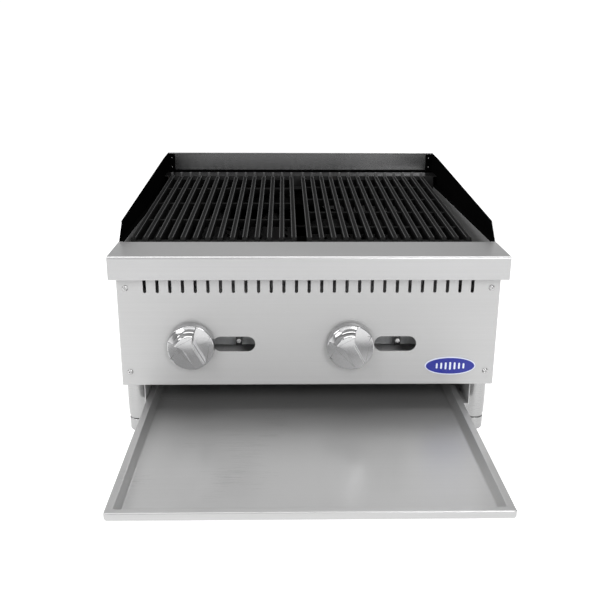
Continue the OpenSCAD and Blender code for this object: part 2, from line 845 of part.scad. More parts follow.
front_panel();
front_ledge();
side_panel(-1);  // left_side_panel
side_panel(1);  // right_side_panel
back_panel();
base_frame();
splash_guard(-1);  // left_splash_guard
splash_guard(1);  // right_splash_guard
backsplash();
rear_heat_shield();
front_heat_shield();
side_heat_shield(-1);  // left_heat_shield
side_heat_shield(1);  // right_heat_shield
front_grate_rail();
rear_grate_rail();
grate(left_grate_x, left_ties);  // left_grate
grate(right_grate_x, right_ties);  // right_grate
radiant(left_knob_x);  // left_outer_radiant
radiant(left_knob_x + arm_gap);  // left_inner_radiant
radiant(right_knob_x);  // right_inner_radiant
radiant(right_knob_x + arm_gap);  // right_outer_radiant
burner(left_knob_x);  // left_burner
burner(right_knob_x);  // right_burner
air_shutter(left_knob_x);  // left_air_shutter
air_shutter(right_knob_x);  // right_air_shutter
orifice(left_knob_x);  // left_orifice
orifice(right_knob_x);  // right_orifice
manifold();
gas_inlet_pipe();
valve_body(left_knob_x);  // left_valve_body
valve_body(right_knob_x);  // right_valve_body
valve_plug(left_knob_x);  // left_valve_plug
valve_plug(right_knob_x);  // right_valve_plug
stem(left_knob_x);  // left_stem
stem(right_knob_x);  // right_stem
stem_spring(left_knob_x);  // left_stem_spring
stem_spring(right_knob_x);  // right_stem_spring
knob(left_knob_x);  // left_knob
knob(right_knob_x);  // right_knob
pilot_valve(pilot_left_x);  // left_pilot_valve
pilot_valve(pilot_right_x);  // right_pilot_valve
pilot_screw(pilot_left_x);  // left_pilot_screw
pilot_screw(pilot_right_x);  // right_pilot_screw
pilot_tube(pilot_left_x);  // left_pilot_tube
pilot_tube(pilot_right_x);  // right_pilot_tube
tray_runner(-1);  // left_tray_runner
tray_runner(1);  // right_tray_runner
drip_tray();
leg(-leg_x, front_y + leg_y);  // front_left_leg
leg(leg_x, front_y + leg_y);  // front_right_leg
leg(-leg_x, back_y - leg_y);  // rear_left_leg
leg(leg_x, back_y - leg_y);  // rear_right_leg
foot(-leg_x, front_y + leg_y);  // front_left_foot
foot(leg_x, front_y + leg_y);  // front_right_foot
foot(-leg_x, back_y - leg_y);  // rear_left_foot
foot(leg_x, back_y - leg_y);  // rear_right_foot
panel_screws();
splash_screws();
leg_nuts();
badge();
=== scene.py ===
"""Looks of the two-burner gas charbroiler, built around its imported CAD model."""

import json
import math

import bmesh
import bpy
from mathutils import Matrix, Vector

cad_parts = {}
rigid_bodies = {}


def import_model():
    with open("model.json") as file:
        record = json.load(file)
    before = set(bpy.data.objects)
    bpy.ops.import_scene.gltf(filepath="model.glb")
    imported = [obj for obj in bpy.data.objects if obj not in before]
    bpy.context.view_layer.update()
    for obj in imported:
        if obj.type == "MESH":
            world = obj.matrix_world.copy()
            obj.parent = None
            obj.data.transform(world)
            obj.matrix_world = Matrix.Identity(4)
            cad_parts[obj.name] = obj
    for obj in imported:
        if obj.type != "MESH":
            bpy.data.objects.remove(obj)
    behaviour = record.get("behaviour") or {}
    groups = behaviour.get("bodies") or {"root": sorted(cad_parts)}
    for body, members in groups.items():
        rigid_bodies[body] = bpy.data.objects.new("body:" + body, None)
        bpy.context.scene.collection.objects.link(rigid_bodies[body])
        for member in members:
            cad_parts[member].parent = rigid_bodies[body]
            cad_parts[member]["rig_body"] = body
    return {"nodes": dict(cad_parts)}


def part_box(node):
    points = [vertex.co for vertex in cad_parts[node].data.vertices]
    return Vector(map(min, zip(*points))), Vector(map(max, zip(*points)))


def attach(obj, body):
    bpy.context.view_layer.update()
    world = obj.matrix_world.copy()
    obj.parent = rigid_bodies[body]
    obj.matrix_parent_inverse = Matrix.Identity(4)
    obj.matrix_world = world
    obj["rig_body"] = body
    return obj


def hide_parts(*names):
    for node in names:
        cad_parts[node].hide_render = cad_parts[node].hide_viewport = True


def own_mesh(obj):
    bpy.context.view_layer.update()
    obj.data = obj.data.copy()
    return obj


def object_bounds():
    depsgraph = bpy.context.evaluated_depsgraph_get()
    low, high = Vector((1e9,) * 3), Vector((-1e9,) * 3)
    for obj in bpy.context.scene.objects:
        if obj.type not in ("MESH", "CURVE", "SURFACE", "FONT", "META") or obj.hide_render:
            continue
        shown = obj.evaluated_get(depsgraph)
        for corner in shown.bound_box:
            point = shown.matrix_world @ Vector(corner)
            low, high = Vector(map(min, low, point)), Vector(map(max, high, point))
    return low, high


# Lengths are in metres. The viewer stands at -Y.
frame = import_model()
cad_lo, cad_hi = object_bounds()
scene = bpy.context.scene
NODES = frame["nodes"]
BODY = {n: o["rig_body"] for n, o in NODES.items()}
SLOT = {n: o.data.materials[0].name for n, o in NODES.items()}
NEAR = 2e-5   # two places this close count as the same place
MERGE = 2e-6   # vertices this close are merged
ON_AXIS = 1e-7   # a radius smaller than this is a point on the axis
SIDES = {"left": 1, "right": -1}   # each side, and the sign of X that points inward from it


# ---------------------------------------------------------------- materials

def material(name, color, metallic, rough, **sockets):
    """A Principled material, returned with its node tree and its shader."""
    mat = bpy.data.materials.new(name)
    mat.use_nodes = True
    bsdf = mat.node_tree.nodes["Principled BSDF"]
    bsdf.inputs["Base Color"].default_value = (*color, 1)
    bsdf.inputs["Metallic"].default_value = metallic
    bsdf.inputs["Roughness"].default_value = rough
    for key, value in sockets.items():
        bsdf.inputs[key.replace("_", " ")].default_value = value
    return mat, mat.node_tree, bsdf


def feed(nt, socket, value):
    """Links an input to another socket, or sets its value."""
    if isinstance(value, bpy.types.NodeSocket):
        nt.links.new(value, socket)
    else:
        socket.default_value = value


def node(nt, kind, **inputs):
    """A shader node with its inputs fed."""
    made = nt.nodes.new(kind)
    for key, value in inputs.items():
        feed(nt, made.inputs[key.replace("_", " ")], value)
    return made


def place(nt, scale=(1, 1, 1)):
    """The object's own coordinates, scaled along each axis."""
    coord = nt.nodes.new("ShaderNodeTexCoord")
    return node(nt, "ShaderNodeMapping", Vector=coord.outputs["Object"], Scale=scale).outputs[0]


def noise(nt, vector, scale, detail, rough, distort=0.0):
    """The grey value of a noise texture."""
    return node(nt, "ShaderNodeTexNoise", Vector=vector, Scale=scale, Detail=detail,
                Roughness=rough, Distortion=distort).outputs["Fac"]


def remap(nt, value, lo, hi, out_lo, out_hi):
    """A value carried over from one range to another."""
    made = nt.nodes.new("ShaderNodeMapRange")
    nt.links.new(value, made.inputs["Value"])
    for key, number in (("From Min", lo), ("From Max", hi), ("To Min", out_lo), ("To Max", out_hi)):
        made.inputs[key].default_value = number
    return made.outputs["Result"]


def math_node(nt, op, a, b):
    """The result of one operation on two numbers or sockets."""
    made = nt.nodes.new("ShaderNodeMath")
    made.operation = op
    for socket, value in zip(made.inputs, (a, b)):
        feed(nt, socket, value)
    return made.outputs[0]


def mix_color(nt, factor, a, b):
    """A blend of two colours, each a tuple or a socket."""
    made = nt.nodes.new("ShaderNodeMix")
    made.data_type = "RGBA"
    nt.links.new(factor, made.inputs["Factor"])
    pair = [s for s in made.inputs if s.type == "RGBA"]
    for socket, value in zip(pair, (a, b)):
        feed(nt, socket, (*value, 1) if isinstance(value, tuple) else value)
    return [s for s in made.outputs if s.type == "RGBA"][0]


def bump(nt, height, strength, distance, normal=None):
    """A normal bent by a height, on top of another normal where one is given."""
    made = node(nt, "ShaderNodeBump", Height=height, Strength=strength, Distance=distance)
    if normal is not None:
        nt.links.new(normal, made.inputs["Normal"])
    return made.outputs["Normal"]


def shade(color, k):
    """A colour made k times as bright, at most white."""
    return tuple(min(1.0, c * k) for c in color)


def steel(name, color, rough, along="X", metallic=1.0, aniso=0.45, wave=0.0):
    """Brushed stainless: a grain drawn out along one axis, soft clouding and faint waviness.

    along is the axis of the grain, or "ring" for a grain that runs round an upright tube.
    """
    turned = along == "ring"
    axis = 2 if turned else "XYZ".index(along)
    mat, nt, bsdf = material(name, color, metallic, rough, Anisotropic=aniso,
                             Anisotropic_Rotation=0.0 if turned else 0.25)
    fine, long = 2600.0, 14.0   # noise scale across the grain and along it
    spread, cloud = 0.03, 0.02   # how far the grain and the clouding move the roughness
    grain = 0.015
    stretch = [fine if (i == axis) == turned else long for i in range(3)]
    lines = noise(nt, place(nt, stretch), 1.0, 3.0, 0.6)
    bands = noise(nt, place(nt, [s * 0.2 for s in stretch]), 1.0, 2.0, 0.5)
    soft = noise(nt, place(nt), 6.0, 3.0, 0.55, 0.4)
    lined = remap(nt, lines, 0.3, 0.7, rough - spread, rough + spread)
    clouded = remap(nt, soft, 0.3, 0.7, -cloud, cloud)
    nt.links.new(math_node(nt, "ADD", lined, clouded), bsdf.inputs["Roughness"])
    tint = mix_color(nt, remap(nt, bands, 0.25, 0.75, 0.0, 1.0), shade(color, 0.98), shade(color, 1.02))
    nt.links.new(tint, bsdf.inputs["Base Color"])
    normal = bump(nt, lines, grain, 0.0001)
    if wave:
        swell = noise(nt, place(nt), 4.5, 1.0, 0.4)
        normal = bump(nt, swell, wave, 0.004, normal)
    nt.links.new(normal, bsdf.inputs["Normal"])
    tangent = nt.nodes.new("ShaderNodeCombineXYZ")
    tangent.inputs[axis].default_value = 1.0
    nt.links.new(tangent.outputs[0], bsdf.inputs["Tangent"])
    return mat


def plated(name, color, rough, mottle=0.06, spangle=60.0, metallic=1.0):
    """Zinc, aluminized or turned metal: cloudy crystals with a fine tooth."""
    mat, nt, bsdf = material(name, color, metallic, rough)
    crystals = node(nt, "ShaderNodeTexVoronoi", Vector=place(nt), Scale=spangle).outputs["Color"]
    grey = node(nt, "ShaderNodeSeparateColor", Color=crystals).outputs[0]
    soft = noise(nt, place(nt), 14.0, 4.0, 0.6)
    blend = math_node(nt, "ADD", math_node(nt, "MULTIPLY", grey, 0.45),
                      math_node(nt, "MULTIPLY", soft, 0.55))
    nt.links.new(remap(nt, blend, 0.2, 0.8, rough - mottle, rough + mottle), bsdf.inputs["Roughness"])
    tint = mix_color(nt, remap(nt, blend, 0.2, 0.8, 0.0, 1.0), shade(color, 0.86), shade(color, 1.08))
    nt.links.new(tint, bsdf.inputs["Base Color"])
    tooth = noise(nt, place(nt), 900.0, 3.0, 0.6)
    nt.links.new(bump(nt, tooth, 0.05, 0.0002), bsdf.inputs["Normal"])
    return mat


def cast(name, color, rough, tooth, spec, rust=0.0, edge=None):
    """Cast iron or near-black sheet, some of it painted shade: pitted skin, uneven sheen, rust where asked,
    and paler edges where asked, which are edge wear with a painted highlight.
    """
    mat, nt, bsdf = material(name, color, 0.0, rough, Specular_IOR_Level=spec)
    fine = noise(nt, place(nt), 1500.0, 4.0, 0.65)
    lumps = noise(nt, place(nt), 240.0, 3.0, 0.5)
    soft = noise(nt, place(nt), 11.0, 4.0, 0.6)
    nt.links.new(remap(nt, math_node(nt, "ADD", fine, soft), 0.7, 1.3, rough - 0.09, rough + 0.11),
                 bsdf.inputs["Roughness"])
    tint = mix_color(nt, remap(nt, soft, 0.3, 0.7, 0.0, 1.0), shade(color, 0.75), shade(color, 1.2))
    if rust:
        spots = remap(nt, noise(nt, place(nt), 38.0, 5.0, 0.7), 0.58, 0.74, 0.0, rust)
        tint = mix_color(nt, spots, tint, (0.09, 0.04, 0.022))
    # Paler convex edges: edge wear, with a painted highlight on the edges
    if edge:
        wear_and_glint = node(nt, "ShaderNodeNewGeometry").outputs["Pointiness"]
        tint = mix_color(nt, remap(nt, wear_and_glint, 0.51, 0.6, 0.0, 1.0), tint, edge)
    nt.links.new(tint, bsdf.inputs["Base Color"])
    normal = bump(nt, lumps, tooth * 0.5, 0.0012)
    nt.links.new(bump(nt, fine, tooth, 0.0005, normal), bsdf.inputs["Normal"])
    return mat


def chrome(name, color, rough):
    """Plated die-casting or bright screw: a mirror with haze and fine rubbing."""
    mat, nt, bsdf = material(name, color, 1.0, rough)
    haze = noise(nt, place(nt), 45.0, 4.0, 0.6)
    rub = noise(nt, place(nt, (300, 1800, 900)), 1.0, 2.0, 0.6)
    nt.links.new(remap(nt, math_node(nt, "ADD", haze, rub), 0.7, 1.3, rough - 0.03, rough + 0.06),
                 bsdf.inputs["Roughness"])
    nt.links.new(mix_color(nt, haze, shade(color, 0.95), shade(color, 1.03)), bsdf.inputs["Base Color"])
    nt.links.new(bump(nt, noise(nt, place(nt), 70.0, 2.0, 0.4), 0.05, 0.001), bsdf.inputs["Normal"])
    return mat


def enamel(name, color, rough, coat=0.7):
    """Coloured glaze under a clear coat."""
    mat, nt, bsdf = material(name, color, 0.0, rough, Coat_Weight=coat, Coat_Roughness=0.08)
    soft = noise(nt, place(nt), 120.0, 3.0, 0.6)
    nt.links.new(mix_color(nt, soft, shade(color, 0.88), shade(color, 1.1)), bsdf.inputs["Base Color"])
    nt.links.new(remap(nt, soft, 0.3, 0.7, rough - 0.04, rough + 0.06), bsdf.inputs["Roughness"])
    nt.links.new(bump(nt, noise(nt, place(nt), 400.0, 2.0, 0.5), 0.04, 0.0003), bsdf.inputs["Normal"])
    return mat


# Looked up by the finish of the CAD node, unless a piece is given one of these by name
M = {
    "stainless_panel": steel("panel_steel", (0.482, 0.482, 0.482), 0.42, "X", 0.3),
    "side_steel": steel("side_steel", (0.5, 0.5, 0.5), 0.4, "Y", 0.6),
    "stainless_ledge": steel("ledge_steel", (0.465, 0.465, 0.467), 0.33, "X", 0.8),
    "stainless_tray": steel("tray_steel", (0.465, 0.465, 0.465), 0.31, "X", 0.65, aniso=0.6, wave=0.15),
    "stainless_splash": steel("splash_steel", (0.5, 0.5, 0.503), 0.3, "Y"),
    # Near-black painted shade and painted dark reflection, for the splash guards and the backsplash's foot
    "shade_painted_steel": cast("shade_painted_steel", (0.002, 0.002, 0.002), 0.5, 0.05, 0.0),
    "backsplash_steel": steel("backsplash_steel", (0.29, 0.29, 0.292), 0.22, "X", aniso=0.5),
    "shelf_steel": cast("shelf_steel", (0.007, 0.007, 0.007), 0.3, 0.03, 0.04),
    "aluminized_shield": plated("aluminized_sheet", (0.42, 0.42, 0.43), 0.42, metallic=0.6),
    "window_shield": plated("window_sheet", (0.7, 0.7, 0.71), 0.5, metallic=0.1),
    "burnt_shield": cast("burnt_shield", (0.02, 0.02, 0.02), 0.6, 0.15, 0.2, rust=0.25),
    # The grates' paler edges are edge wear with a painted highlight
    "cast_grate": cast("grate_iron", (0.013, 0.013, 0.0132), 0.42, 0.3, 0.4, edge=(0.07, 0.07, 0.071)),
    # Near-black painted shade for the grates' grooves, ties and flanks
    "grate_shade_iron": cast("grate_shade_iron", (0.0025, 0.0025, 0.0025), 0.7, 0.5, 0.12),
    "cast_radiant": cast("radiant_iron", (0.012, 0.012, 0.012), 0.7, 0.7, 0.2, rust=0.35),
    "cast_burner": cast("burner_iron", (0.02, 0.02, 0.021), 0.65, 0.7, 0.25, rust=0.3),
    "rail_iron": cast("rail_iron", (0.008, 0.008, 0.008), 0.7, 0.4, 0.15, rust=0.1),
    "zinc_steel": plated("zinc_plate", (0.55, 0.56, 0.57), 0.36, 0.07, 90.0, metallic=0.7),
    "manifold_zinc": plated("manifold_zinc", (0.55, 0.56, 0.57), 0.45, 0.05, 90.0, metallic=0.3),
    "brass_fittings": plated("turned_brass", (0.62, 0.43, 0.17), 0.3, 0.06, 240.0),
    "chrome_knob": chrome("knob_chrome", (0.53, 0.53, 0.535), 0.12),
    "leg_steel": steel("leg_steel", (0.4, 0.4, 0.4), 0.26, "ring", 1.0, aniso=0.7),
    "spring_steel": plated("spring_wire", (0.5, 0.5, 0.5), 0.3, 0.05, 300.0),
    "pilot_black": enamel("black_oxide", (0.012, 0.012, 0.013), 0.36),
    "copper_tube": plated("copper_pipe", (0.6, 0.3, 0.18), 0.3, 0.07, 120.0),
    "badge_blue": enamel("badge_enamel", (0.002, 0.010, 0.27), 0.35, 0.15),
    "badge_line": enamel("badge_line", (0.75, 0.8, 0.95), 0.3),
    "badge_rim": enamel("badge_rim", (0.7, 0.74, 0.88), 0.3),
    "screw_steel": chrome("screw_steel", (0.5, 0.5, 0.5), 0.2),
}


# ---------------------------------------------------------------- mesh tools

def new_object(name, bm, mats):
    """An object from a bmesh, which is used up, with one material or a list of them."""
    me = bpy.data.meshes.new(name)
    bm.to_mesh(me)
    bm.free()
    ob = bpy.data.objects.new(name, me)
    scene.collection.objects.link(ob)
    for mat in mats if isinstance(mats, list) else [mats]:
        me.materials.append(mat)
    return ob


def apply_all(ob):
    """Bakes the modifiers into the mesh, so that the piece is plain geometry."""
    bpy.context.view_layer.update()
    deps = bpy.context.evaluated_depsgraph_get()
    me = bpy.data.meshes.new_from_object(ob.evaluated_get(deps))
    old = ob.data
    ob.modifiers.clear()
    ob.data = me
    bpy.data.meshes.remove(old)


def soften(ob, width, segments, angle):
    """Rounds the edges sharper than an angle in degrees, and shades the broad faces flat."""
    ob.data.shade_smooth()
    mod = ob.modifiers.new("edges", "BEVEL")
    mod.width = width
    mod.segments = segments
    mod.limit_method = "ANGLE"
    mod.angle_limit = math.radians(angle)
    mod.use_clamp_overlap = False
    mod.profile = 0.5
    mod.miter_outer = "MITER_ARC"
    mod = ob.modifiers.new("normals", "WEIGHTED_NORMAL")
    mod.keep_sharp = True
    mod.weight = 80
    apply_all(ob)


def shade_under(ob, degrees):
    """Smooth shading, with the edges sharper than an angle left crisp."""
    ob.data.shade_smooth()
    ob.data.set_sharp_from_angle(angle=math.radians(degrees))


def clean(bm):
    """Merges doubled vertices and joins the faces that lie in one plane, to within a degree."""
    bmesh.ops.remove_doubles(bm, verts=bm.verts, dist=MERGE)
    bmesh.ops.dissolve_limit(bm, angle_limit=math.radians(1), verts=bm.verts, edges=bm.edges)
    bm.normal_update()


def rework(ob, change):
    """Runs one bmesh step on the mesh of an object."""
    bm = bmesh.new()
    bm.from_mesh(ob.data)
    change(bm)
    bm.to_mesh(ob.data)
    bm.free()


def show(ob, name):
    """Puts a piece in the place of the CAD node of that name, on the same body."""
    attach(ob, BODY[name])
    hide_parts(name)


def refined(name, mat=None, width=0.0004, segments=2, rounds=(), angle=30.0, dark=None, split=None):
    """A finer copy of a CAD node: clean faces, its larger bends rounded, then every edge broken.

    width, segments and angle are those of soften. rounds lists (test, radius, steps), where the
    test picks the edges of a bend. dark is a second material and a test for the faces that take
    it: painted shade on the splash guards, the backsplash's foot and the grates' grooves and
    flanks, and the burnt lower part of the rear heat shield. split is a height at which the faces
    are divided first.
    """
    bm = bmesh.new()
    bm.from_mesh(NODES[name].data)
    clean(bm)
    if split:
        bmesh.ops.bisect_plane(bm, geom=bm.verts[:] + bm.edges[:] + bm.faces[:],
                               plane_co=(0, 0, split), plane_no=(0, 0, 1))
        bm.normal_update()
    for pick, radius, steps in rounds:
        edges = [e for e in bm.edges if pick(e.verts[0].co, e.verts[1].co)]
        bmesh.ops.bevel(bm, geom=edges, offset=radius, offset_type="OFFSET", segments=steps,
                        profile=0.5, affect="EDGES", clamp_overlap=False)
        bm.normal_update()
    # The CAD's own corner normals no longer fit the new faces
    for layer in list(bm.loops.layers.float_vector.values()):
        bm.loops.layers.float_vector.remove(layer)
    for face in bm.faces:
        face.material_index = int(bool(dark and dark[1](face)))
    ob = new_object("skin_" + name, bm, [mat or M[SLOT[name]]] + ([dark[0]] if dark else []))
    soften(ob, width, segments, angle)
    show(ob, name)


def lathe(profile, segments):
    """A closed solid of revolution about local Z, from (radius, height) points."""
    bm = bmesh.new()
    rings = []
    for r, h in profile:
        if r < ON_AXIS:
            rings.append([bm.verts.new((0, 0, h))])
        else:
            rings.append([bm.verts.new((r * math.cos(2 * math.pi * i / segments),
                                        r * math.sin(2 * math.pi * i / segments), h))
                          for i in range(segments)])
    for a, b in zip(rings, rings[1:]):
        for i in range(segments):
            j = (i + 1) % segments
            loop = [a[i % len(a)], a[j % len(a)], b[j % len(b)], b[i % len(b)]]
            loop = [v for k, v in enumerate(loop) if v not in loop[:k]]
            if len(loop) > 2:
                bm.faces.new(loop)
    bmesh.ops.recalc_face_normals(bm, faces=bm.faces)
    return bm


def prism(outline, z0, z1):
    """A closed prism along local Z from a list of (x, y) points."""
    bm = bmesh.new()
    low = [bm.verts.new((x, y, z0)) for x, y in outline]
    high = [bm.verts.new((x, y, z1)) for x, y in outline]
    bm.faces.new(low[::-1])
    bm.faces.new(high)
    for i in range(len(outline)):
        j = (i + 1) % len(outline)
        bm.faces.new((low[i], low[j], high[j], high[i]))
    bmesh.ops.recalc_face_normals(bm, faces=bm.faces)
    return bm


def sweep(outline, start, end, steps):
    """Part of a ring about local Z: a closed (radius, height) outline swept between two angles."""
    bm = bmesh.new()
    rings = []
    for i in range(steps + 1):
        a = math.radians(start + (end - start) * i / steps)
        rings.append([bm.verts.new((x * math.cos(a), x * math.sin(a), z)) for x, z in outline])
    n = len(outline)
    for p, q in zip(rings, rings[1:]):
        for i in range(n):
            bm.faces.new((p[i], p[(i + 1) % n], q[(i + 1) % n], q[i]))
    bm.faces.new(rings[0])
    bm.faces.new(rings[-1])
    bmesh.ops.recalc_face_normals(bm, faces=bm.faces)
    return bm


def discard(ob):
    """Deletes an object with its mesh."""
    me = ob.data
    bpy.data.objects.remove(ob)
    bpy.data.meshes.remove(me)


def carve(ob, cutters):
    """Cuts throwaway objects out of a piece and deletes them."""
    for cutter in cutters:
        mod = ob.modifiers.new("cut", "BOOLEAN")
        mod.operation = "DIFFERENCE"
        mod.solver = "EXACT"
        mod.object = cutter
    apply_all(ob)
    for cutter in cutters:
        discard(cutter)


def temp(bm, matrix=Matrix.Identity(4)):
    """A throwaway object for cutting, moved into place within its mesh."""
    me = bpy.data.meshes.new("cutter")
    bm.transform(matrix)
    bm.to_mesh(me)
    bm.free()
    ob = bpy.data.objects.new("cutter", me)
    scene.collection.objects.link(ob)
    return ob


def join_bm(parts):
    """One bmesh out of several, which are used up."""
    whole = bmesh.new()
    for part in parts:
        me = bpy.data.meshes.new("part")
        part.to_mesh(me)
        part.free()
        whole.from_mesh(me)
        bpy.data.meshes.remove(me)
    return whole


def smooth_curve(points, steps):
    """Catmull-Rom points through an open chain, for soft outlines, with steps to each span."""
    out = []
    p = [points[0]] + list(points) + [points[-1]]
    for i in range(1, len(p) - 2):
        for s in range(steps):
            t = s / steps
            out.append(tuple(0.5 * (2 * b + (c - a) * t + (2 * a - 5 * b + 4 * c - d) * t * t
                                    + (3 * b - a - 3 * c + d) * t ** 3)
                             for a, b, c, d in zip(p[i - 1], p[i], p[i + 1], p[i + 2])))
    out.append(tuple(points[-1]))
    return out


FACING = Matrix.Rotation(math.radians(90), 4, "X")   # turns local Z towards the viewer, to -Y
REARWARD = Matrix.Rotation(math.radians(-90), 4, "X")   # turns local Z to the back, to +Y


# ---------------------------------------------------------------- casing

panel_lo, panel_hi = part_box("front_panel")
ledge_lo, ledge_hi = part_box("front_ledge")
shelf_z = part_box("rear_heat_shield")[1].z
FLANGE = 0.06   # the rear flanges of the splash guards lie within this of the back
SHADE_RISE = 0.003   # the painted shade on the backsplash's foot stands this far above the shelf
SHELF_EDGE = 0.003   # faces whose middle is further than this below the shelf belong to the shield


def panel_bends(a, b):
    """The outer fold lines of the front panel: its two upright edges and its bottom edge."""
    front = all(abs(v.y - panel_lo.y) < NEAR for v in (a, b))
    upright = front and any(all(abs(v.x - x) < NEAR for v in (a, b)) for x in (panel_lo.x, panel_hi.x))
    bottom = front and all(abs(v.z - panel_lo.z) < NEAR for v in (a, b))
    return upright or bottom


refined("front_panel", width=0.00035, rounds=[(panel_bends, 0.003, 5)])


def ledge_ends(a, b):
    """The welded seams at the two ends of the ledge."""
    return any(all(abs(v.x - x) < NEAR for v in (a, b)) for x in (ledge_lo.x, ledge_hi.x))


refined("front_ledge", width=0.0005, rounds=[(ledge_ends, 0.0009, 3)], angle=40.0)


def shade_painted_faces(inward):
    """A test for the faces of a splash guard that get a painted shade: inner side, top and rear flange."""
    def picks(face):
        rear = face.normal.y < -0.5 and face.calc_center_median().y > cad_hi.y - FLANGE
        return face.normal.x * inward > 0.5 or face.normal.z > 0.9 or rear

    return picks


for side, inward in SIDES.items():
    refined(side + "_side_panel", M["side_steel"])
    # The guards' inner faces, tops and rear flanges are painted near black: painted shade and painted dark
    # reflection
    refined(side + "_splash_guard", width=0.0005, segments=3, dark=(M["shade_painted_steel"], shade_painted_faces(inward)))
    refined(side + "_heat_shield", M["burnt_shield"])
    refined(side + "_tray_runner")
refined("back_panel")


def flue_gap_shade(face):
    """The foot of the backsplash, seen through the flue gap, which gets a painted shade."""
    return face.normal.y < -0.5 and face.calc_center_median().z < shelf_z + SHADE_RISE


# The backsplash's foot below the shelf's level is painted near black: painted shade in the gap
refined("backsplash", M["backsplash_steel"], 0.0005, 3, dark=(M["shade_painted_steel"], flue_gap_shade),
        split=shelf_z + SHADE_RISE)


def below_shelf(face):
    """All of the rear heat shield but the shelf that is its top."""
    return face.calc_center_median().z < shelf_z - SHELF_EDGE


refined("rear_heat_shield", M["shelf_steel"], dark=(M["burnt_shield"], below_shelf))
refined("front_heat_shield", M["window_shield"])
refined("base_frame")

# ---------------------------------------------------------------- fire side

GRATE_TOP = 0.323   # height of the bar tops at their front end
GRATE_RISE = math.tan(math.radians(2.5))   # slope of the bars, up towards the back
TOP_DEPTH = 0.0006   # depth of the tops; the faces further below get the painted shade
# One burner's pieces, with the width of their broken edges
FITTINGS = {"outer_radiant": 0.0009, "inner_radiant": 0.0009, "burner": 0.0006, "air_shutter": 0.0003,
            "orifice": 0.0003, "valve_body": 0.0004, "valve_plug": 0.0002, "stem": 0.0003,
            "pilot_valve": 0.0006, "pilot_screw": 0.0002, "pilot_tube": 0.0003}


def shade_under_tops(front):
    """A test for the grooves, ties and flanks, which get a painted shade: all of a grate that lies under its
    tops.
    """
    def picks(face):
        at = face.calc_center_median()
        return at.z < GRATE_TOP + (at.y - front) * GRATE_RISE - TOP_DEPTH

    return picks


for name in ("front_grate_rail", "rear_grate_rail"):
    refined(name, M["rail_iron"], 0.0006)
for side in SIDES:
    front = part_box(side + "_grate")[0].y
    # Everything under the bar tops gets a near-black painted shade, between and under the bars
    refined(side + "_grate", width=0.0008, angle=20.0, dark=(M["grate_shade_iron"], shade_under_tops(front)))
    for part, width in FITTINGS.items():
        refined(f"{side}_{part}", M["screw_steel"] if part == "pilot_screw" else None, width)


def square_tube(a, b):
    """The four long corners of the manifold tube."""
    lo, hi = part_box("manifold")
    along = abs(a.x - b.x) > 0.5 * (hi.x - lo.x)
    return along and all(min(abs(v.y - lo.y), abs(v.y - hi.y)) < NEAR
                         and min(abs(v.z - lo.z), abs(v.z - hi.z)) < NEAR for v in (a, b))


refined("manifold", M["manifold_zinc"], 0.0003, rounds=[(square_tube, 0.0018, 4)])

# ---------------------------------------------------------------- drip tray


def ring(bm, centre, hx, hy, radius, z, rise):
    """A rounded rectangle of vertices at height z, each corner arching up by rise."""
    verts = []
    steps = 6
    for sx, sy, start in ((1, 1, 0), (-1, 1, 90), (-1, -1, 180), (1, -1, 270)):
        for i in range(steps + 1):
            a = math.radians(start + 90 * i / steps)
            verts.append(bm.verts.new((centre.x + sx * (hx - radius) + radius * math.cos(a),
                                       centre.y + sy * (hy - radius) + radius * math.sin(a),
                                       z + rise * math.sin(math.pi * i / steps))))
    return verts


def drip_tray():
    """One bent sheet: lip, flat rim, wall and floor, each fold with its own radius."""
    lo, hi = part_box("drip_tray")
    centre = (lo + hi) / 2
    hx, hy = (hi.x - lo.x) / 2, (hi.y - lo.y) / 2
    sheet = 0.0012
    top, floor_z = hi.z, lo.z + sheet
    rim, lip, lean = 0.011, 0.0105, 0.0038   # width of the rim, depth of the lip, run of the wall
    r1, r2, r3 = 0.0017, 0.0015, 0.003   # bends at the lip, at the head of the wall, at the floor
    corner, least_corner = 0.0032, 0.0028   # radii in plan
    arch = 0.0022   # the lip is cut higher at its corners
    steps = 5
    quarter = [math.pi / 2 * i / steps for i in range(steps + 1)]
    path = [(0, top - lip)]
    path += [(r1 - r1 * math.cos(t), top - r1 + r1 * math.sin(t)) for t in quarter]
    path += [(rim - r2 + r2 * math.sin(t), top - r2 + r2 * math.cos(t)) for t in quarter]
    path += [(rim + lean + r3 - r3 * math.cos(t), floor_z + r3 - r3 * math.sin(t)) for t in quarter]
    bm = bmesh.new()
    loops = []
    for i, (inset, z) in enumerate(path):
        radius = max(least_corner, corner - inset) if inset < rim else corner
        loops.append(ring(bm, centre, hx - inset, hy - inset, radius, z, arch if i == 0 else 0))
    for a, b in zip(loops, loops[1:]):
        for i in range(len(a)):
            j = (i + 1) % len(a)
            bm.faces.new((a[i], a[j], b[j], b[i]))
    base = bm.faces.new(loops[-1])
    bm.normal_update()
    if base.normal.z < 0:
        bmesh.ops.reverse_faces(bm, faces=bm.faces)
    ob = new_object("tray_sheet", bm, M["stainless_tray"])
    mod = ob.modifiers.new("thickness", "SOLIDIFY")
    mod.thickness = sheet
    mod.offset = -1
    apply_all(ob)
    soften(ob, 0.0003, 2, 50.0)
    show(ob, "drip_tray")


drip_tray()

# ---------------------------------------------------------------- knobs

GRIP_ANGLE = 29   # degrees that the grip is turned about its shaft, as in the photo


